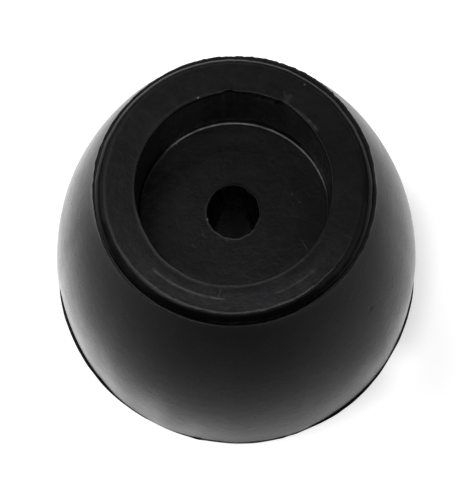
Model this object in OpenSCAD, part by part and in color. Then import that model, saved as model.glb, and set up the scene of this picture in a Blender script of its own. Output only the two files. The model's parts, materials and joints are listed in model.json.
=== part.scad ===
// Conical rubber bump stop, moulded in one piece.
// Origin at the centre of the foot's flat face, +Z up along the screw hole.

/* [Body] */
// Diameter of the foot, over its parting lip
foot_d = 50; // [42:0.5:70]
// Height from the foot's face to the bump face
height = 37; // [26:0.5:60]
// Diameter of the shoulder, over its parting lip
shoulder_d = 34.2; // [32:0.2:40]
// Radius that rounds the shoulder over into the bump face
shoulder_round = 1.5; // [0.6:0.1:2]

/* [Head recess] */
// Diameter of the recess for the screw head and washer
recess_d = 24; // [16:0.5:25]
// Depth of the recess below the bump face
recess_depth = 10; // [4:0.5:16]
// Fillet between the recess wall and its floor
floor_fillet = 0.4; // [0.1:0.1:1.5]
// Rounding of the recess mouth
mouth_round = 0.3; // [0.1:0.1:0.6]

/* [Screw hole] */
// Diameter of the screw hole
hole_d = 6.6; // [4.5:0.1:11]
// Rounding of the hole where it opens in the recess floor
hole_round = 0.3; // [0.1:0.1:1]

/* [Parting lips] */
// How far the foot's lip stands out from the side
foot_lip_w = 0.25; // [0.1:0.05:0.6]
// Thickness of the foot's lip
foot_lip_t = 0.3; // [0.1:0.05:0.8]
// How far the shoulder's lip stands out from the side
shoulder_lip_w = 0.3; // [0.1:0.05:0.6]
// Thickness of the shoulder's lip
shoulder_lip_t = 0.25; // [0.1:0.05:0.8]

/* [Hidden] */
$fn = 180;
foot_r = foot_d / 2;
shoulder_r = shoulder_d / 2;
recess_r = recess_d / 2;
hole_r = hole_d / 2;
// The side runs from side_foot_r, at the foot, to side_top_r, at the shoulder's parting line
side_foot_r = foot_r - foot_lip_w;
side_top_r = shoulder_r - shoulder_lip_w;
parting_z = height - shoulder_round;
recess_floor_z = height - recess_depth;
// The side leaves the foot upright, so its arc is centred level with the foot's face
side_draw_in = side_foot_r - side_top_r;
side_arc_r = (side_draw_in * side_draw_in + parting_z * parting_z) / (2 * side_draw_in);
// Overlap that keeps unions and cuts free of shared faces
eps = 0.5;
// Facets of the side's arc, on its full circle
arc_fn = 720;

// Quarter-round cutter: the corner of a square of side r at the origin, less a disc of radius r
// centred on its far corner. Subtracting it rounds a convex corner; adding it fills a concave one.
module corner_round(r) {
    difference() {
        square(r);
        translate([r, r]) circle(r, $fn = 72);
    }
}

// Half section of the side, bulging outwards from the foot to the shoulder's parting line
module side_section() {
    intersection() {
        square([side_foot_r + eps, parting_z]);
        translate([side_foot_r - side_arc_r, 0]) circle(side_arc_r, $fn = arc_fn);
    }
}

// Half section of the crown above the parting line, rounded over into the bump face
module crown_section() {
    difference() {
        translate([0, parting_z - eps]) square([side_top_r, shoulder_round + eps]);
        translate([side_top_r, height]) rotate(180) corner_round(shoulder_round);
    }
}

// Half sections of the thin lips that the mould leaves at its two parting lines
module lip_sections() {
    square([foot_r, foot_lip_t]);
    translate([0, parting_z - shoulder_lip_t]) square([shoulder_r, shoulder_lip_t]);
}

// Half section of the head recess, with its rounded mouth and its floor fillet
module recess_section() {
    difference() {
        translate([0, recess_floor_z]) square([recess_r, recess_depth + eps]);
        translate([recess_r, recess_floor_z]) mirror([1, 0]) corner_round(floor_fillet);
    }
    translate([recess_r, height]) mirror([0, 1]) corner_round(mouth_round);
}

// Half section of the screw hole, rounded where it opens in the recess floor
module hole_section() {
    translate([0, -eps]) square([hole_r, recess_floor_z + 2 * eps]);
    translate([hole_r, recess_floor_z]) mirror([0, 1]) corner_round(hole_round);
}

// Half section of the whole stop
module stop_section() {
    difference() {
        union() {
            side_section();
            crown_section();
            lip_sections();
        }
        recess_section();
        hole_section();
    }
}

module bump_stop() {
    color([0.05, 0.05, 0.055]) rotate_extrude() stop_section();
}

bump_stop();
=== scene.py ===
import json
import bpy
import numpy as np
from mathutils import Matrix, Vector

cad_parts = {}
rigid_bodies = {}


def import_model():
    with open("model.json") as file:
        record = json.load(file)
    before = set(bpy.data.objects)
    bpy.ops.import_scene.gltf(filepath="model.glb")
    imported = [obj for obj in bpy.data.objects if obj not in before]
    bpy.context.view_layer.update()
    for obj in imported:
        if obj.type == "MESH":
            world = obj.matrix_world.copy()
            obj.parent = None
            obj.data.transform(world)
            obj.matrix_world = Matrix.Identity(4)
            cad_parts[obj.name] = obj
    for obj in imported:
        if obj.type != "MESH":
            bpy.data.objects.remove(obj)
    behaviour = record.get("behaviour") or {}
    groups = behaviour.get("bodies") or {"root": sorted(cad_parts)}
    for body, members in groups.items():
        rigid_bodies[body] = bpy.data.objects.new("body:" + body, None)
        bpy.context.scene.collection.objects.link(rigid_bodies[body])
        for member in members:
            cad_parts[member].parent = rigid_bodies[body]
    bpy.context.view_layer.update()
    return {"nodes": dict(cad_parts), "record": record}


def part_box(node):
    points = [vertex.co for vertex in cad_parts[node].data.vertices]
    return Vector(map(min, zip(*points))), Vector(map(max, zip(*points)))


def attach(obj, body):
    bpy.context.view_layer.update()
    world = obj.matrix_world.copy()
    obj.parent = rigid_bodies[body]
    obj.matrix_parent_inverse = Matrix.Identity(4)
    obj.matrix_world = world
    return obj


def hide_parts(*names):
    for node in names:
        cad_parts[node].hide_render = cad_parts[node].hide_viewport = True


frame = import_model()
mm = 0.001
print("frame loaded:", sorted(frame["nodes"]))


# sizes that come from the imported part

mounts = {mount["name"]: mount for mount in frame["record"]["mounts"]}
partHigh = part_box("bump_stop")[1]
footRadius = partHigh.x                                        # over the parting lip
height = partHigh.z
floorHeight = mounts["washer_seat"]["pos_m"][2]                # floor of the recess
recessRadius = mounts["head_recess"]["dims"]["r_mm"] * mm
holeRadius = mounts["screw_hole"]["dims"]["r_mm"] * mm


# directions are in degrees round the axis: 0 right, 90 back, 180 left and 270 front

stopShape = {
    "columns": 580,                           # mesh columns round the axis
    "rows": {                                 # mesh rows in each part of the section
        "underside": 5, "footLip": 9, "side": 32, "shoulderLip": 18, "crownWall": 3, "crown": 18,
        "face": 7, "byMouth": 9, "mouthRound": 6, "recessWall": 20, "floorFillet": 10,
        "recessFloor": 9, "byHole": 8, "holeRound": 6, "upperBore": 4, "bore": 4,
    },
    "partingRadius": 16.8 * mm,               # top of the side
    "partingShift": (0, -0.12 * mm),          # the side leans a little off the axis
    "neck": (0.1 * mm, 0.35 * mm),            # the side turns upright just under the lip: width, reach
    "sideSway": 0.03 * mm,                    # slow unevenness of the side
    "footLip": 0.25 * mm,                     # width of the lip round the foot
    "footLipThickness": 0.3 * mm,
    "footLipBluntness": 0.45,                 # less is blunter
    "footLipLeast": 0.03 * mm,                # where it is trimmed back
    "footLipMost": 0.05 * mm,                 # past the foot's radius, where it is torn long
    "lipRadius": 17.12 * mm,                  # over the shoulder's parting lip
    "lipShift": (-0.02 * mm, -0.11 * mm),
    "lipOval": 0.067 * mm,
    "lipThickness": 0.2 * mm,
    "lipThicknessRange": (0.1 * mm, 0.4 * mm),
    "lipThicknessRipple": (5, 4, 40, 1.0, 0.25),       # seed, fewest and most waves, fall, share
    "lipBluntness": 0.15,
    "lipDip": 0.15 * mm,                      # groove behind the lip
    "lipDipGone": (270, 55),                  # where there is none, and over how many degrees
    "crownRise": 1.5 * mm,                    # parting line to bump face
    "crownRadius": 16.68 * mm,                # foot of the crown
    "crownShift": (-0.06 * mm, -0.24 * mm),   # the upper mould sits a little off the axis
    "crownOval": 0.06 * mm,
    "dome": (1.5 * mm, 2.42 * mm, 66),        # the crown's curve: half width, depth, degrees of turn
    "frontDome": (1.85 * mm, 2.0 * mm, 41),   # the same at the front, where it is flatter
    "frontSpread": (260, 84),                 # where the front is, and over how many degrees
    "coreShift": (-0.1 * mm, -0.39 * mm),     # the core that leaves the recess is off too
    "holeShift": (-0.22 * mm, -0.35 * mm),
    "recessOval": (0.12 * mm, 72),            # the recess is drawn slightly oval: how much, which way
    "holeOval": 0.1 * mm,
    "mouthRound": 0.13 * mm,
    "mouthBead": (0.05 * mm, 0.12 * mm, 0.17 * mm),    # low ridge by the mouth: height, offset, spread
    "mouthBeadSides": (195, 345, 40, 0.25),            # full from and to, soft degrees, least share
    "holeBead": (0.025 * mm, 0.12 * mm, 0.12 * mm),
    "fineMesh": (0.6 * mm, 0.5 * mm),         # width of the finer mesh by the mouth and by the hole
    "floorFillet": 0.36 * mm,
    "holeRound": 0.12 * mm,
    "boreTop": 1 * mm,                        # the hole is ragged down to this depth
    # torn hollow in the recess wall: from, to and soft degrees, depth, how far under the face,
    # spread, and its ripple
    "torn": (59, 77, 2.5, 0.35 * mm, 1.0 * mm, 0.45 * mm, (33, 20, 90, 0.4, 0.5)),
    "tornShare": (0.8, 1.4),                  # mean and most of the depth
    # how the back of the shoulder's lip frays: from, to and soft degrees, and its ripple
    "frayed": (28, 108, 5, (21, 50, 180, 0.2, 0.022 * mm)),
    # what trimming, tearing and wear add to or take off the radius of each edge, in mm, in the
    # rows that uneven() lists
    "sideFootWear": {
        "stretches": [(188, 223, 8, -0.18), (223, 244, 6, -0.05), (265, 291, 6, 0.10),
                      (299, 326, 8, -0.04), (327, 352, 8, -0.11)],
        "bells": [(203, 9, -0.08), (340, 8, -0.02)],
    },
    "footLipWear": {
        "base": 0.12,
        "ripples": [(3, 8, 60, 0.6, 0.015)],
        "stretches": [(300, 352, 6, 0.06)],
        "bells": [(193, 12, 0.11), (223, 2.5, 0.05), (240, 11, -0.13), (256, 1.8, 0.09), (262, 4, -0.04),
                  (277, 9, 0.09), (283, 1.2, 0.06), (287, 2.2, 0.09), (304, 9, 0.08), (329, 7, -0.09)],
    },
    "lipWear": {
        "ripples": [(8, 6, 90, 0.6, 0.025)],
        "bells": [(225, 20, 0.14), (60, 16, 0.11), (335, 25, 0.07), (118, 40, -0.07), (20, 14, 0.08),
                  (100, 8, 0.04), (128, 6, -0.04), (166, 8, 0.06), (172, 15, -0.03), (167, 1.6, 0.06),
                  (177, 1.2, 0.05), (28, 2, 0.05)],
    },
    "crownWear": {"ripples": [(9, 4, 60, 0.7, 0.02)]},
    "domeWear": {"bells": [(308, 15, -0.14)]},
    "wallWear": {"ripples": [(14, 3, 40, 1.0, 0.03)]},
    "mouthWear": {
        "stretches": [(88.5, 94.5, 2.5, 0.22), (100, 215, 20, -0.15)],
        "bells": [(57.5, 6, 0.18), (22, 28, -0.22)],
    },
    "mouthRoundWear": {"bells": [(50, 32, 0.1)]},
    "floorFilletWear": {"bells": [(0, 28, -0.2)]},
    "holeWear": {"ripples": [(17, 4, 30, 0.7, 0.03)], "bells": [(50, 9, -0.18)]},
}


def turnFrom(angles, degrees):
    # signed turn in degrees from a direction to each angle, between -180 and 180
    return (np.degrees(angles) - degrees + 180) % 360 - 180


def bell(angles, degrees, halfWidth):
    # e to the minus square of the turn over the half width
    return np.exp(-(turnFrom(angles, degrees) / halfWidth) ** 2)


def easeStep(value):
    # 3 v squared less 2 v cubed, with v held between 0 and 1
    held = np.clip(value, 0, 1)
    return held * held * (3 - 2 * held)


def stretch(angles, fromDegrees, toDegrees, soft):
    # 1 between two directions and 0 outside, eased over the soft degrees at each end
    middle, half = (fromDegrees + toDegrees) / 2, (toDegrees - fromDegrees) / 2
    return easeStep((half - np.abs(turnFrom(angles, middle))) / soft + 0.5)


def ripple(angles, seed, fewest, most, fall, size):
    # size times a sum of cosines of whole numbers of waves, each of random phase and of height
    # waves to the minus fall, divided by the sum's standard deviation
    dice = np.random.default_rng(seed)
    waves = np.arange(fewest, most + 1)[:, None]
    phases = dice.uniform(0, 2 * np.pi, waves.shape)
    total = (waves ** -float(fall) * np.cos(waves * angles + phases)).sum(0)
    return size * total / total.std()


def uneven(angles, wear):
    # sum, in mm, of a base, ripples (seed, fewest and most waves, fall, size), stretches (from, to
    # and soft degrees, height) and bells (direction, half width, height)
    total = wear.get("base", 0) + 0 * angles
    for row in wear.get("ripples", []):
        total = total + ripple(angles, *row)
    for *where, rise in wear.get("stretches", []):
        total = total + rise * stretch(angles, *where)
    for *where, rise in wear.get("bells", []):
        total = total + rise * bell(angles, *where)
    return total * mm


def shiftedRing(angles, radius, shift):
    # distance from the axis to a circle of that radius whose centre is moved by shift: the
    # part of the shift along each direction, plus the root of radius squared less the square
    # of the part across it
    along = shift[0] * np.cos(angles) + shift[1] * np.sin(angles)
    across = shift[1] * np.cos(angles) - shift[0] * np.sin(angles)
    return along + np.sqrt(radius ** 2 - across ** 2)


def crowded(rows):
    # shares from 0 towards 1, closer together near both ends: half of 1 less the cosine of
    # even steps over half a turn
    return (1 - np.cos(np.linspace(0, np.pi, rows, endpoint=False)))[:, None] / 2


def straight(fromPoint, toPoint, rows):
    # points on a line from one end towards the other
    share = crowded(rows)
    return [a + (b - a) * share for a, b in zip(fromPoint, toPoint)]


def roundFromUpright(fromPoint, toPoint, rows):
    # quarter ellipse that leaves along the axis and arrives across it: the radius follows the
    # cosine, and the height the sine, of a quarter turn
    u = np.linspace(0, np.pi / 2, rows, endpoint=False)[:, None]
    return [toPoint[0] + (fromPoint[0] - toPoint[0]) * np.cos(u),
            fromPoint[1] + (toPoint[1] - fromPoint[1]) * np.sin(u)]


def roundFromLevel(fromPoint, toPoint, rows):
    # quarter ellipse that leaves across the axis and arrives along it
    u = np.linspace(0, np.pi / 2, rows, endpoint=False)[:, None]
    return [fromPoint[0] + (toPoint[0] - fromPoint[0]) * np.sin(u),
            toPoint[1] + (fromPoint[1] - toPoint[1]) * np.cos(u)]


def bead(radius, edge, size):
    # low ridge beside an edge: its height times e to the minus square of the distance from its
    # crest, which stands at an offset from the edge, over its spread
    crest, offset, spread = size
    return crest * np.exp(-((radius - edge - offset) / spread) ** 2)


def lipEdge(lowRoot, highRoot, tip, lowHeight, thickness, rows, bluntness, dip=0.0):
    # lip between a root below and a root above: the radius goes from the root to the tip by the
    # cosine to a power, while the height follows the sine, over half a turn; from the tip to the
    # root above, the top falls by the dip
    u = np.linspace(-np.pi / 2, np.pi / 2, rows, endpoint=False)[:, None]
    out = np.cos(u) ** bluntness
    radius = np.where(u < 0, lowRoot, highRoot) * (1 - out) + tip * out
    return [radius, lowHeight + thickness * (1 + np.sin(u)) / 2 - dip * (1 - out) * (u > 0)]


def arcedSide(angles, shape, sideFoot, partingHeight, top):
    # the side from its foot up to the lip: it is upright at the foot, where its arc's radius is
    # half of draw-in squared plus height squared over the draw-in; its radius falls by the root of
    # arc radius squared less height squared, it leans off the axis as it rises, and the neck adds
    # its width times e to the distance from the top over its reach
    drawIn = sideFoot - shape["partingRadius"]
    arcRadius = (drawIn ** 2 + partingHeight ** 2) / (2 * drawIn)
    neckWidth, neckReach = shape["neck"]
    bottom = shape["footLipThickness"]
    rise = bottom + (top - bottom) * crowded(shape["rows"]["side"])
    radius = sideFoot - arcRadius + np.sqrt(arcRadius ** 2 - rise ** 2)
    radius = radius + neckWidth * np.exp((rise - top) / neckReach)
    lean = [part * rise / partingHeight for part in shape["partingShift"]]
    return [shiftedRing(angles, radius, lean), rise]


def crownCurve(angles, shape, crown):
    # arc of an ellipse whose radius follows the sine of its turn as its height follows the
    # cosine; its half width, depth and span go over to the front's by a bell
    atFront = bell(angles, *shape["frontSpread"])
    width, depth, span = [a + (b - a) * atFront for a, b in zip(shape["dome"], shape["frontDome"])]
    width = width + uneven(angles, shape["domeWear"])
    span = np.radians(span)
    faceEdge = crown - width * np.sin(span)
    turn = span * np.linspace(1, 0, shape["rows"]["crown"], endpoint=False)[:, None]
    curve = [faceEdge + width * np.sin(turn), height - depth * (1 - np.cos(turn))]
    return faceEdge, height - depth * (1 - np.cos(span)), curve


def makeBody(shape):
    # the section is one closed loop of points, from the hole along the underside, up the side,
    # over the crown and the face, down the recess and back down the hole, for every angle
    angles = np.linspace(0, 2 * np.pi, shape["columns"], endpoint=False)
    level = np.ones_like(angles)
    rows = shape["rows"]
    partingHeight = height - shape["crownRise"]

    # parting lip at the foot: torn ragged, trimmed back to almost nothing in places
    lipRoot = footRadius - shape["footLip"]
    sideFoot = lipRoot + uneven(angles, shape["sideFootWear"])
    footTip = np.clip(lipRoot + uneven(angles, shape["footLipWear"]), sideFoot + shape["footLipLeast"],
                      footRadius + shape["footLipMost"])

    # parting lip at the shoulder, ragged at the back and widest at the front left
    parting = shiftedRing(angles, shape["partingRadius"], shape["partingShift"]) + shape["neck"][0]
    tip = shiftedRing(angles, shape["lipRadius"], shape["lipShift"])
    tip = tip - shape["lipOval"] * np.cos(2 * angles)
    frayFrom, frayTo, fraySoft, frayRipple = shape["frayed"]
    frayed = stretch(angles, frayFrom, frayTo, fraySoft) * ripple(angles, *frayRipple)
    tip = tip + uneven(angles, shape["lipWear"]) + frayed
    lipThickness = shape["lipThickness"] * (1 + ripple(angles, *shape["lipThicknessRipple"]))
    lipThickness = np.clip(lipThickness, *shape["lipThicknessRange"])
    dip = shape["lipDip"] * (1 - bell(angles, *shape["lipDipGone"]))

    # edges of the top
    crown = shiftedRing(angles, shape["crownRadius"], shape["crownShift"])
    crown = crown + uneven(angles, shape["crownWear"]) - shape["crownOval"] * np.cos(2 * angles)
    faceEdge, cornerHeight, curve = crownCurve(angles, shape, crown)
    recessOval, ovalDegrees = shape["recessOval"]
    wall = shiftedRing(angles, recessRadius, shape["coreShift"]) + uneven(angles, shape["wallWear"])
    wall = wall + recessOval * np.cos(2 * np.radians(turnFrom(angles, ovalDegrees)))
    mouth = wall + uneven(angles, shape["mouthWear"])
    bore = shiftedRing(angles, holeRadius, shape["holeShift"])
    bore = bore - shape["holeOval"] * np.cos(2 * angles)
    hole = bore + uneven(angles, shape["holeWear"])
    mouthRound = shape["mouthRound"] + uneven(angles, shape["mouthRoundWear"])
    fillet = shape["floorFillet"] + uneven(angles, shape["floorFilletWear"])
    holeRound = shape["holeRound"]
    fineByMouth, fineByHole = shape["fineMesh"]
    byMouth = mouth + fineByMouth
    byHole = hole + fineByHole

    foot = 0 * level
    face = height * level
    floor = floorHeight * level
    parts = [
        straight((bore, foot), (sideFoot, foot), rows["underside"]),
        lipEdge(sideFoot, sideFoot, footTip, foot, shape["footLipThickness"], rows["footLip"],
                shape["footLipBluntness"]),
        arcedSide(angles, shape, sideFoot, partingHeight, partingHeight - lipThickness),
        lipEdge(parting, crown, tip, partingHeight - lipThickness, lipThickness, rows["shoulderLip"],
                shape["lipBluntness"], dip),
        straight((crown, partingHeight - dip), (crown, cornerHeight), rows["crownWall"]),
    ]
    crisp = sum(len(part[1]) for part in parts)                  # row of the crown's corner
    parts += [
        curve,
        straight((faceEdge, face), (byMouth, face), rows["face"]),
        straight((byMouth, face), (mouth + mouthRound, face), rows["byMouth"]),
        roundFromLevel((mouth + mouthRound, face), (mouth, face - mouthRound), rows["mouthRound"]),
        straight((mouth, face - mouthRound), (wall, floor + fillet), rows["recessWall"]),
        roundFromUpright((wall, floor + fillet), (wall - fillet, floor), rows["floorFillet"]),
        straight((wall - fillet, floor), (byHole, floor), rows["recessFloor"]),
        straight((byHole, floor), (hole + holeRound, floor), rows["byHole"]),
        roundFromLevel((hole + holeRound, floor), (hole, floor - holeRound), rows["holeRound"]),
        straight((hole, floor - holeRound), (bore, floor - shape["boreTop"]), rows["upperBore"]),
        straight((bore, floor - shape["boreTop"]), (bore, foot), rows["bore"]),
    ]
    radius = np.concatenate([part[0] * level for part in parts])
    rise = np.concatenate([part[1] * level for part in parts])
    radius = tearWall(angles, shape, radius, rise)
    rise = raiseBeads(angles, shape, radius, rise, mouth, hole)
    radius = swaySide(angles, shape, radius, rise, partingHeight)
    place = np.stack([radius * np.cos(angles), radius * np.sin(angles), rise], -1)
    return meshFromGrid("rubber_body", place, crisp)


def tearWall(angles, shape, radius, rise):
    # torn hollow just under the mouth: the wall moves out by the depth, times a ripple about the
    # mean share between two directions, times e to the minus square of the distance from its
    # middle over its spread
    fromDegrees, toDegrees, soft, depth, below, spread, wave = shape["torn"]
    mean, most = shape["tornShare"]
    torn = stretch(angles, fromDegrees, toDegrees, soft) * (mean + ripple(angles, *wave))
    under = np.exp(-((rise - (height - below)) / spread) ** 2)
    byWall = np.abs(radius - recessRadius) < 1.5 * mm
    onWall = byWall & (rise > floorHeight + 1 * mm) & (rise < height - shape["mouthRound"])
    return radius + depth * np.clip(torn, 0, most) * under * onWall


def raiseBeads(angles, shape, radius, rise, mouth, hole):
    # beads by the mouth and the hole, which fade evenly to nothing 1 mm and 0.3 mm down their walls
    fromDegrees, toDegrees, soft, least = shape["mouthBeadSides"]
    share = least + (1 - least) * stretch(angles, fromDegrees, toDegrees, soft)
    fade = np.clip((rise - height) / mm + 1, 0, 1)
    nearMouth = fade * (radius < recessRadius + 1.5 * mm)
    rise = rise + bead(radius, mouth, shape["mouthBead"]) * share * nearMouth
    fade = np.clip((rise - floorHeight) / (0.3 * mm) + 1, 0, 1)
    nearHole = fade * (radius < holeRadius + 1.7 * mm)
    return rise + bead(radius, hole, shape["holeBead"]) * nearHole


def swaySide(angles, shape, radius, rise, partingHeight):
    # slow unevenness: three ripples round the side, each times the sine of a whole number of half
    # turns over the height, and faded out over the last 3 mm at the foot and at the lip
    turns = np.pi * rise / height
    sway = sum(ripple(angles, 40 + k, 2, 11, 1.0, 1.0) * np.sin((k + 1) * turns + k) for k in range(3))
    margin = 0.5 * mm
    between = (rise > margin) & (rise < partingHeight - margin)
    onSide = between & (radius > shape["partingRadius"] - margin)
    fadeLength = 3 * mm
    fade = np.clip(rise / fadeLength, 0, 1) * np.clip((partingHeight - rise) / fadeLength, 0, 1)
    return radius + shape["sideSway"] * sway * fade * onSide


def meshFromGrid(name, place, crisp):
    # every point of a rows by columns grid joins its neighbours in four-sided faces; the grid
    # closes on itself both ways, so the surface is a ring with no edge, and one row is crisp
    rowCount, columnCount = place.shape[:2]
    index = np.arange(rowCount * columnCount).reshape(rowCount, columnCount)
    across = np.roll(index, -1, 1)
    up = np.roll(index, -1, 0)
    corners = np.stack([index, across, np.roll(up, -1, 1), up], -1).reshape(-1)
    faceCount = corners.size // 4
    mesh = bpy.data.meshes.new(name)
    mesh.vertices.add(index.size)
    mesh.vertices.foreach_set("co", place.astype(np.float32).ravel())
    mesh.loops.add(corners.size)
    mesh.loops.foreach_set("vertex_index", corners.astype(np.int32))
    mesh.polygons.add(faceCount)
    mesh.polygons.foreach_set("loop_start", np.arange(0, corners.size, 4, dtype=np.int32))
    mesh.polygons.foreach_set("use_smooth", np.ones(faceCount, dtype=bool))
    mesh.update(calc_edges=True)
    mesh.validate()
    ends = np.zeros(len(mesh.edges) * 2, dtype=np.int32)
    mesh.edges.foreach_get("vertices", ends)
    onCrispRow = (ends // columnCount == crisp).reshape(-1, 2).all(1)
    mesh.edges.foreach_set("use_edge_sharp", onCrispRow)
    piece = bpy.data.objects.new(name, mesh)
    bpy.context.scene.collection.objects.link(piece)
    return piece


class Flow:
    # wraps a socket, so that arithmetic on it adds Math nodes
    def __init__(self, finish, socket):
        self.finish = finish
        self.socket = socket

    def maths(self, operation, first, second=0.0):
        # one operation on one or two values
        return self.finish.add("ShaderNodeMath", {"operation": operation}, {0: first, 1: second})

    def __add__(self, other):
        return self.maths("ADD", self, other)

    def __radd__(self, other):
        return self.maths("ADD", other, self)

    def __sub__(self, other):
        return self.maths("SUBTRACT", self, other)

    def __rsub__(self, other):
        return self.maths("SUBTRACT", other, self)

    def __mul__(self, other):
        return self.maths("MULTIPLY", self, other)

    def __rmul__(self, other):
        return self.maths("MULTIPLY", other, self)

    def fall(self, spread):
        # e to the minus square of the value over the spread
        ratio = self * (1 / spread)
        return self.maths("EXPONENT", ratio * ratio * -1.0)


class Finish:
    # a material whose nodes are added one call at a time
    def __init__(self, name):
        self.material = bpy.data.materials.new(name)
        self.material.use_nodes = True
        self.tree = self.material.node_tree
        self.tree.nodes.clear()

    def add(self, kind, settings=None, values=None, out=0):
        # settings come first, because they decide which sockets there are
        node = self.tree.nodes.new(kind)
        for key, value in (settings or {}).items():
            setattr(node, key, value)
        for key, value in (values or {}).items():
            socket = node.inputs[key]
            if isinstance(value, Flow):
                self.tree.links.new(value.socket, socket)
            elif socket.type == "RGBA":
                socket.default_value = (*value, 1)
            else:
                socket.default_value = value
        return Flow(self, node.outputs[out]) if len(node.outputs) else node

    def noise(self, place, scale, detail, roughness):
        # cloudy noise whose largest cells are 1 over the scale, in metres
        return self.add("ShaderNodeTexNoise", {"noise_dimensions": "3D"},
                        {"Vector": place, "Scale": scale, "Detail": detail, "Roughness": roughness})

    def vector(self, operation, first, second=(0, 0, 0), out=0):
        # vector maths; the output named Value is the one for a length, a distance or a product
        return self.add("ShaderNodeVectorMath", {"operation": operation}, {0: first, 1: second}, out)

    def distance(self, place, point):
        # root of the sum of the squared differences
        return self.vector("DISTANCE", place, tuple(point), "Value")

    def along(self, place, direction):
        # how far a place lies along a direction: the dot product
        return self.vector("DOT_PRODUCT", place, tuple(direction), "Value")

    def between(self, value, low, high):
        # 0 at low, 1 at high, eased
        return self.add("ShaderNodeMapRange", {"interpolation_type": "SMOOTHSTEP"},
                        {"Value": value, "From Min": low, "From Max": high})

    def blend(self, share, first, second):
        # first colour where the share is 0, second where it is 1; a colour mix takes its share at
        # socket 0 and its colours at 6 and 7, and gives its result at 2
        return self.add("ShaderNodeMix", {"data_type": "RGBA"}, {0: share, 6: first, 7: second}, 2)


def grey(level):
    # the same level of red, green and blue
    return (level, level, level)


# what a mask reads: sides are direction, half width and soft degrees, and reach is where it
# starts and where it is full, from the core's axis

rubberLook = {
    "black": grey(0.0042),
    "bloom": grey(0.0061),                 # dusty grey that rubber takes on
    "bloomRange": (0.42, 0.62),            # of the clouds and the mottling
    "patchRange": (0.35, 0.65),            # of the mottling and the streaks
    "roughness": 0.27,
    "roughnessSpread": 0.08,               # with the mottling
    "roughnessClouds": 0.1,
    "ior": 1.2,
    "grain": (2600, 3, 0.6, 0.012 * mm),   # scale, detail, roughness and height of the fine grain
    "levelGrain": 0.004 * mm,              # more of it on the level faces
    "mottle": (700, 4, 0.6, 0.026 * mm),
    "clouds": (160, 3, 0.55),
    "streak": (1.6, 4, 0.65, 0.022 * mm),  # lines round the axis
    "streakLength": 5.0,                   # more is shorter
    "streaksPerMetre": 900,
    "gaps": (1500, 2, 0.5),                # breaks in the scuffs
    "gapRange": (0.3, 0.6),
    # dust on the recess floor, and painted shade on a ring of the floor
    "floorDust": grey(0.0145),
    "floorDustReach": (8.2 * mm, 10.2 * mm),
    "floorDustFront": (269, 48, 12),
    "floorDustFrontShare": 0.9,
    "floorDustBack": (104, 38, 14),
    "paintedShade": grey(0.002),
    "paintedShadeShare": 0.85,
    "shadeRingReach": (6.8 * mm, 8.6 * mm),
    "shadeRingNot": (92, 56, 16),              # not at the back
    "shadeRingLess": (268, 24, 12),            # and less at the front, by this share
    "shadeRingLessShare": 0.6,
    "shadeRingEnd": (9.2 * mm, 10.2 * mm),     # where it ends at the front
    "shadeRingEndSides": (270, 52, 12),
    # painted highlight: a pale line in the corner of the recess
    "cornerHighlight": grey(0.5),
    "cornerReach": 11.78 * mm,
    "cornerWidth": 0.09 * mm,
    "cornerOut": 0.08 * mm,                # further out at the right
    "cornerOutSides": (10, 20, 22),
    "cornerSides": [(72, 54, 12), (104, 24, 12)],
    "polish": 0.15,                        # roughness there
    "polishReach": (11.35 * mm, 11.6 * mm),
    # dust and painted light on the recess wall, most on the back wall
    "wallDustAndLight": grey(0.05),
    "wallDustAndLightLeast": 0.08,
    "wallDustAndLightSides": (92, 32, 18),
    "faceDust": (0.0135, 0.0135, 0.0155),  # faintly blue
    "faceDustFront": (262, 50, 20),
    "faceDustReach": (12.9 * mm, 13.7 * mm),
    "faceDustBack": (100, 38, 25),
    "faceDustBackShare": 0.35,
    # the edge of the face, rubbed smooth, and darkened at the front with painted shade
    "wornRoughness": 0.16,
    "wornSides": (254, 68, 20),
    "wornReach": (15.1 * mm, 15.5 * mm),
    "frontEdgeShadeSides": (270, 38, 16),
    "frontEdgeShadeReach": (15.6 * mm, 16 * mm),
    # arcs on the bump face: radius in mm, from and to degrees, half width in mm, level
    "scuff": grey(0.075),
    "arcs": [(13.95, 226, 264, 0.12, 0.75), (14.1, 289, 311, 0.12, 0.3), (12.3, 33, 58, 0.16, 0.28),
             (12.2, 62, 150, 0.1, 0.15)],
    # strokes: part, then radius in mm and degrees of both ends, half width in mm, level
    "strokes": [
        ("face", 12.4, 262, 13.8, 261, 0.07, 0.35), ("face", 12.2, 58.5, 13.6, 57.0, 0.34, 0.2),
        ("face", 12.6, 58, 13.7, 61.5, 0.16, 0.14), ("floor", 9.1, 335, 11.4, 326, 0.09, 0.3),
    ],
    # lint and pits: part, radius in mm (height on the side), degrees, size in mm, level
    "lint": grey(0.2),
    "lintSpecks": [
        ("face", 12.1, 109, 0.10, 1.0), ("face", 15.6, 54.6, 0.09, 0.5),
        ("floor", 7.6, 16, 0.10, 0.2), ("floor", 8.3, 7, 0.10, 0.2), ("floor", 4.9, 215, 0.12, 0.15),
        ("floor", 3.8, 254, 0.12, 0.2), ("floor", 11.7, 127, 0.12, 1.0), ("floor", 11.8, 134, 0.10, 0.7),
        ("floor", 3.42, 195, 0.11, 1.0), ("side", 22.9, 299.4, 0.11, 1.0),
        ("face", 12.3, 40.5, 0.2, 0.12), ("face", 12.35, 35.5, 0.24, 0.12),
    ],
    "pits": [
        ("side", 29.0, 225.6, 0.16, 1.0), ("side", 23.3, 335.9, 0.16, 0.6),
        ("side", 22.2, 334.4, 0.14, 0.6), ("side", 25.0, 322, 0.45, 0.4),
    ],
    "pitDepth": 0.08 * mm,
    "pitRoughness": 0.5,                   # added there
    "scuffRoughness": 0.15,
}


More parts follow.
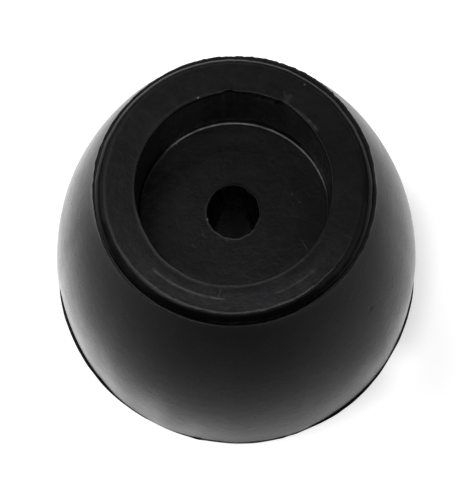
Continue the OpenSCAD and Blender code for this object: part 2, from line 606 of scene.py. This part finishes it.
def spot(part, radius, degrees):
    # place of a mark: on the face and the floor it lies at that radius from the core's axis, and
    # on the side the radius is its height, and the side draws in by the square of the height
    turn = np.radians(degrees)
    direction = np.array([np.cos(turn), np.sin(turn), 0])
    if part == "side":
        rise = radius * mm
        sideFoot = footRadius - stopShape["footLip"]
        share = (rise / (height - stopShape["crownRise"])) ** 2
        return direction * (sideFoot - (sideFoot - stopShape["partingRadius"]) * share) + (0, 0, rise)
    rise = height if part == "face" else floorHeight
    return direction * radius * mm + (*stopShape["coreShift"], rise)


def specks(finish, place, rows):
    # sum over the specks of level times e to the minus square of the distance over the size
    total = 0.0
    for part, radius, degrees, size, level in rows:
        total = total + finish.distance(place, spot(part, radius, degrees)).fall(size * mm) * level
    return total


def strokeMark(finish, place, start, end, half):
    # e to the minus square of the distance aside of the line over the half width, between its ends
    length = np.linalg.norm(end - start)
    forward = (end - start) / length
    offset = finish.vector("SUBTRACT", place, tuple(start))
    along = finish.along(offset, forward)
    aside = finish.along(offset, (-forward[1], forward[0], 0))
    outer = 0.1 * mm                       # it fades from inside its end to just past it
    inner = 0.15 * mm
    nearEnd = finish.between(along, -outer, inner)
    farEnd = finish.between(along, length + outer, length - inner)
    return aside.fall(half) * nearEnd * farEnd


def rubberFinish(look):
    # black rubber with dust, wear, marks, painted shade and painted light blended over it one after
    # another, each by the share of its part, its reach and its sides; the relief is the noises times
    # their heights
    finish = Finish("moulded_rubber")
    between = finish.between
    blend = finish.blend
    place = finish.add("ShaderNodeTexCoord", out="Object")
    z = finish.add("ShaderNodeSeparateXYZ", None, {0: place}, "Z")
    core = finish.vector("SUBTRACT", place, (*stopShape["coreShift"], 0))
    core = finish.vector("MULTIPLY", core, (1, 1, 0))
    reach = finish.vector("LENGTH", core, out="Value")
    heading = finish.vector("NORMALIZE", core)

    def toward(degrees, half, soft):
        # 1 inside the half width on either side of a direction, eased over the soft degrees
        turn = np.radians(degrees)
        cosine = finish.along(heading, (np.cos(turn), np.sin(turn), 0))
        return between(cosine, np.cos(np.radians(half + soft)), np.cos(np.radians(half - soft)))

    # where the parts of the surface are: 0 at the first height or reach, 1 at the second
    inRecess = between(reach, recessRadius + 1.5 * mm, recessRadius + 1 * mm)
    onFace = between(z, height - 0.6 * mm, height - 0.3 * mm)
    aboveFloor = between(z, floorHeight - 0.5 * mm, floorHeight - 0.2 * mm)
    onFloor = between(z, floorHeight + 0.6 * mm, floorHeight + 0.3 * mm) * aboveFloor * inRecess
    underMouth = between(z, height - 0.25 * mm, height - 0.9 * mm)
    onWall = between(z, floorHeight + 0.3 * mm, floorHeight + 1.2 * mm) * underMouth * inRecess
    onEdge = between(z, height - 1.5 * mm, height - 1.2 * mm)
    inFillet = onFloor * between(reach, *look["polishReach"])

    # noises: fine grain, mottling, slow clouds and streaks that run round the axis
    *grainNoise, grainHeight = look["grain"]
    *mottleNoise, mottleHeight = look["mottle"]
    *streakNoise, streakHeight = look["streak"]
    grain = finish.noise(place, *grainNoise)
    mottle = finish.noise(place, *mottleNoise)
    cloud = finish.noise(place, *look["clouds"])
    swirl = finish.vector("MULTIPLY", heading, (look["streakLength"], look["streakLength"], 0))
    outward = finish.add("ShaderNodeCombineXYZ", None, {"Z": reach * look["streaksPerMetre"]})
    swirl = finish.vector("ADD", swirl, outward)
    streak = finish.noise(swirl, *streakNoise)

    # dust, painted shade and painted light
    bloom = between(cloud * 0.5 + mottle * 0.5, *look["bloomRange"])
    patchy = between(mottle * 0.6 + streak * 0.4, *look["patchRange"])
    colour = blend(bloom, look["black"], look["bloom"])
    floorSides = look["floorDustFrontShare"] * toward(*look["floorDustFront"])
    floorSides = floorSides + toward(*look["floorDustBack"])
    floorShare = onFloor * between(reach, *look["floorDustReach"]) * (0.6 + patchy * 0.4) * floorSides
    colour = blend(floorShare, colour, look["floorDust"])
    # painted shade: a ring of the recess floor darkened at its sides, less at the front and not at the
    # back
    paintedShade = onFloor * between(reach, *look["shadeRingReach"]) * (1 - toward(*look["shadeRingNot"]))
    paintedShade = paintedShade * (1 - look["shadeRingLessShare"] * toward(*look["shadeRingLess"]))
    paintedShade = paintedShade * (1 - between(reach, *look["shadeRingEnd"]) * toward(*look["shadeRingEndSides"]))
    colour = blend(look["paintedShadeShare"] * paintedShade, colour, look["paintedShade"])
    # painted highlight along the corner of the recess floor
    cornerMiddle = look["cornerReach"] + look["cornerOut"] * toward(*look["cornerOutSides"])
    cornerSides = sum(0.5 * toward(*sides) for sides in look["cornerSides"])
    cornerHighlightShare = (reach - cornerMiddle).fall(look["cornerWidth"]) * onFloor * cornerSides
    colour = blend(cornerHighlightShare * (0.4 + 0.6 * patchy), colour, look["cornerHighlight"])
    # dust and painted light: the recess wall paler, most at the back
    wallSides = look["wallDustAndLightLeast"] + (1 - look["wallDustAndLightLeast"]) * toward(*look["wallDustAndLightSides"])
    colour = blend(onWall * (0.55 + 0.45 * patchy) * wallSides, colour, look["wallDustAndLight"])
    faceFront = toward(*look["faceDustFront"]) * between(reach, *look["faceDustReach"])
    faceSides = faceFront + look["faceDustBackShare"] * toward(*look["faceDustBack"])
    colour = blend(onFace * (0.3 + 0.7 * patchy) * faceSides, colour, look["faceDust"])
    worn = toward(*look["wornSides"]) * between(reach, *look["wornReach"]) * onEdge
    # painted shade: the front of the crown darkened, in the same colour as the shade ring
    frontEdgeShade = worn * toward(*look["frontEdgeShadeSides"]) * between(reach, *look["frontEdgeShadeReach"])
    colour = blend(frontEdgeShade, colour, look["paintedShade"])

    # marks
    broken = between(finish.noise(place, *look["gaps"]), *look["gapRange"])
    marks = {"face": 0.0, "floor": 0.0}
    for radius, start, end, half, level in look["arcs"]:
        arcSides = toward((start + end) / 2, (end - start) / 2, 1.5)
        marks["face"] = marks["face"] + (reach - radius * mm).fall(half * mm) * arcSides * level
    for part, startRadius, startDegrees, endRadius, endDegrees, half, level in look["strokes"]:
        start = spot(part, startRadius, startDegrees)
        end = spot(part, endRadius, endDegrees)
        marks[part] = marks[part] + strokeMark(finish, place, start, end, half * mm) * level
    scuffs = (marks["face"] * onFace + marks["floor"] * onFloor) * (0.35 + 0.65 * broken)
    colour = blend(scuffs, colour, look["scuff"])
    colour = blend(specks(finish, place, look["lintSpecks"]), colour, look["lint"])
    pits = specks(finish, place, look["pits"])

    roughness = look["roughness"] + (mottle - 0.5) * look["roughnessSpread"]
    roughness = roughness + (cloud - 0.5) * look["roughnessClouds"]
    roughness = roughness + worn * (look["wornRoughness"] - look["roughness"])
    roughness = roughness + inFillet * (look["polish"] - look["roughness"])
    roughness = roughness + pits * look["pitRoughness"] + scuffs * look["scuffRoughness"]
    onLevel = onFace + onFloor
    relief = grain * (grainHeight + look["levelGrain"] * onLevel) + mottle * mottleHeight
    relief = relief + streak * streakHeight * onLevel - pits * look["pitDepth"]
    normal = finish.add("ShaderNodeBump", None, {"Strength": 1.0, "Distance": 1.0, "Height": relief})
    shader = finish.add("ShaderNodeBsdfPrincipled", None, {
        "Base Color": colour, "Roughness": roughness, "Normal": normal, "IOR": look["ior"]})
    finish.add("ShaderNodeOutputMaterial", None, {"Surface": shader})
    return finish.material


body = makeBody(stopShape)
body.data.materials.append(rubberFinish(rubberLook))
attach(body, "root")
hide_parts("bump_stop")
print("rubber body:", len(body.data.polygons) * 2, "triangles")


studio = {
    "floorRadius": 0.30,
    "floorDrop": 0.05 * mm,              # the sheet lies just under the foot
    "floorColour": grey(0.75),
    # painted shade: the floor is darker under the part, and a spot of painted light under the hole is
    # seen only in reflections
    "underShade": grey(0.40),           # under the part
    "underReach": (18 * mm, 24 * mm),    # dark inside the first, clear outside the second
    "underLightSpot": (0, 2.6, 2.2),          # paler spot under the hole, as the part reflects it
    "floorLift": (0.5, 0.68),            # glow that the camera sees beside the foot and farther off
    "liftReach": (24.3 * mm, 29 * mm),   # where it goes from the one to the other
    # painted light on the floor as the camera sees it, and then as the part reflects it, with painted
    # shade where the strength is negative: x, y and spread in mm, strength
    "seenGlow": [
        (-20, -45, 36, 0.3), (0, -28, 10, 0.07), (31, 6, 10, -0.08), (30, -9, 8, -0.06),
        (27.5, -18.5, 9, -0.14), (21.5, -14.2, 3, 0.16), (26.5, 8.5, 5, -0.06),
    ],
    "reflectedGlow": [
        (0, 0, 18, 2.6), (-22, 0, 18, 0.6), (-17, -17, 18, 0.2), (-17, 17, 18, 0.4), (20, 6, 18, 0.5),
        (-17, 17, 36, 0.35), (0, 22, 36, 0.5),
        (-15, -23, 3.5, 0.6), (-20, -17.5, 3, 0.32), (-24.5, -12, 3, 0.28), (-7.5, -25.6, 2.5, 0.26),
        (20.3, -18.2, 2.5, 0.12), (24, -8, 3, 0.24), (-13.3, -20.9, 1.3, -0.22),
        (-14.9, -20, 1.3, -0.35),
    ],
    # shade on the floor as the part reflects it: x, y and spread in mm, share of the colour taken off
    "reflectedShade": [
        (-19, -29, 8, 0.40), (-32, -20, 10, 0.30), (-26, -42, 14, 0.15), (0, -70, 45, 0.36),
        (42, -7, 10, 0.30), (-47, -2, 12, 0.38), (-31.5, -10.5, 6, 0.50), (31, -13, 9, 0.35),
        (24, -20, 5, 0.40), (-18.5, -27.5, 3.5, 0.40), (-9.5, -31, 4, 0.20), (0, -25.8, 2.5, 0.22),
        (-26, -21, 4, 0.15),
    ],
    # painted shade in a ring round the foot, seen only in reflections
    "contactShadeReach": (26 * mm, 25 * mm),  # the same all round the foot: where it starts and is full
    "contactShadeShare": 0.35,
    "worldLevel": 0.04,
    "lamps": {
        # azimuth and elevation in degrees; distance, width and depth in metres; radiance
        "overhead": (0, 90, 0.60, 0.36, 0.13, 6.4),
        "canopy": (0, 90, 0.60, 0.70, 0.70, 0.25),
        "leftHigh": (185, 66, 0.60, 0.26, 0.26, 2.4),
        "leftBackHigh": (145, 62, 0.60, 0.26, 0.26, 2.5),
        "leftBackLow": (150, 35, 0.25, 0.20, 0.15, 1.1),
        "backLow": (100, 35, 0.25, 0.20, 0.15, 0.9),
        "rightBack": (50, 35, 0.60, 0.36, 0.30, 0.8),
        "right": (350, 34, 0.60, 0.40, 0.46, 0.7),
    },
}


def makeFloor(spec):
    # pale sheet under the part, with sums of round pools of glow and shade
    finish = Finish("floor_paper")
    between = finish.between
    black = grey(0.0)
    place = finish.add("ShaderNodeTexCoord", out="Object")
    seenByCamera = finish.add("ShaderNodeLightPath", out="Is Camera Ray")
    seenByGloss = finish.add("ShaderNodeLightPath", out="Is Glossy Ray")
    axis = finish.vector("LENGTH", place, out="Value")

    def pool(x, y, spread):
        # e to the minus square of the distance over the spread
        return finish.distance(place, (x * mm, y * mm, 0)).fall(spread * mm)

    # what the floor gives off
    nearLift, farLift = spec["floorLift"]
    seen = nearLift + (farLift - nearLift) * between(axis, *spec["liftReach"])
    for x, y, spread, strength in spec["seenGlow"]:
        seen = seen + strength * pool(x, y, spread)
    reflected = 0.0
    for x, y, spread, strength in spec["reflectedGlow"]:
        reflected = reflected + strength * pool(x, y, spread)
    clear = between(axis, *spec["underReach"])
    glow = (seenByCamera * seen + seenByGloss * reflected) * clear

    # its colour, with painted shade under the part, in pools and round the foot, as the part reflects it
    # painted shade under the part, with a spot of painted light under the hole that only reflections see
    under = finish.blend(seenByGloss * pool(*spec["underLightSpot"]), spec["underShade"], grey(1.0))
    paper = finish.blend(clear, under, spec["floorColour"])
    for x, y, spread, share in spec["reflectedShade"]:
        paper = finish.blend(seenByGloss * share * pool(x, y, spread), paper, black)
    # painted shade round the foot, as the part reflects the floor
    contactShade = seenByGloss * spec["contactShadeShare"] * between(axis, *spec["contactShadeReach"])
    paper = finish.blend(contactShade, paper, black)
    shader = finish.add("ShaderNodeBsdfPrincipled", None, {
        "Base Color": paper, "Roughness": 1.0, "Specular IOR Level": 0.0, "Emission Color": glow,
        "Emission Strength": 1.0})
    finish.add("ShaderNodeOutputMaterial", None, {"Surface": shader})

    # a round sheet: points at equal turns on a circle
    turns = np.linspace(0, 2 * np.pi, 128, endpoint=False)
    rim = spec["floorRadius"] * np.stack([np.cos(turns), np.sin(turns), 0 * turns], -1)
    rim = rim - (0, 0, spec["floorDrop"])
    mesh = bpy.data.meshes.new("floor")
    mesh.from_pydata(rim.tolist(), [], [list(range(len(turns)))])
    floor = bpy.data.objects.new("floor", mesh)
    floor.data.materials.append(finish.material)
    bpy.context.scene.collection.objects.link(floor)


def makeWorld(spec):
    # dim all round, and white where the camera looks past the floor
    world = bpy.data.worlds.new("studio")
    bpy.context.scene.world = world
    world.use_nodes = True
    nodes = world.node_tree.nodes
    links = world.node_tree.links
    nodes.clear()
    mix = nodes.new("ShaderNodeMixShader")
    links.new(nodes.new("ShaderNodeLightPath").outputs["Is Camera Ray"], mix.inputs[0])
    for socket, strength in ((1, spec["worldLevel"]), (2, 1.0)):
        backdrop = nodes.new("ShaderNodeBackground")
        backdrop.inputs["Color"].default_value = (1, 1, 1, 1)
        backdrop.inputs["Strength"].default_value = strength
        links.new(backdrop.outputs[0], mix.inputs[socket])
    links.new(mix.outputs[0], nodes.new("ShaderNodeOutputWorld").inputs["Surface"])


def awayFrom(target, azimuth, elevation, distance):
    # place at that distance: its height follows the sine of the elevation, and the cosine is
    # shared between x and y by the cosine and the sine of the azimuth
    turn = np.radians(azimuth)
    rise = np.radians(elevation)
    level = np.cos(rise)
    return target + distance * Vector((level * np.cos(turn), level * np.sin(turn), np.sin(rise)))


def makeLamps(spec):
    # each lamp stands on a sphere about the part and faces it; its watts are its radiance
    # times its area times pi
    target = Vector((0, 0, height / 2))
    for name, (azimuth, elevation, distance, width, depth, radiance) in spec["lamps"].items():
        data = bpy.data.lights.new(name, "AREA")
        data.shape = "RECTANGLE"
        data.size = width
        data.size_y = depth
        data.energy = radiance * width * depth * np.pi
        lamp = bpy.data.objects.new(name, data)
        lamp.location = awayFrom(target, azimuth, elevation, distance)
        lamp.rotation_euler = (target - lamp.location).to_track_quat("-Z", "Y").to_euler()
        bpy.context.scene.collection.objects.link(lamp)


cameraSpec = {
    "azimuth": 270,                      # in front of the part
    "elevation": 73.5,                   # degrees above the horizon
    "distance": 0.220,
    "roll": 1.8,                         # degrees, clockwise
    "focal": 120.1,                      # mm on a 36 mm frame
    "target": (-0.2 * mm, -1.66 * mm, 14.5 * mm),
}


def makeCamera(spec):
    # looks at its target, and is then rolled about its own line of sight
    target = Vector(spec["target"])
    place = awayFrom(target, spec["azimuth"], spec["elevation"], spec["distance"])
    data = bpy.data.cameras.new("camera")
    data.lens = spec["focal"]
    data.clip_start = 0.01
    camera = bpy.data.objects.new("camera", data)
    aim = (target - place).to_track_quat("-Z", "Y").to_matrix()
    aim = aim @ Matrix.Rotation(-np.radians(spec["roll"]), 3, "Z")
    camera.matrix_world = Matrix.Translation(place) @ aim.to_4x4()
    bpy.context.scene.collection.objects.link(camera)
    bpy.context.scene.camera = camera


makeFloor(studio)
makeWorld(studio)
makeLamps(studio)
makeCamera(cameraSpec)
bpy.context.scene.view_settings.view_transform = "Standard"
print("floor, light and camera ready")
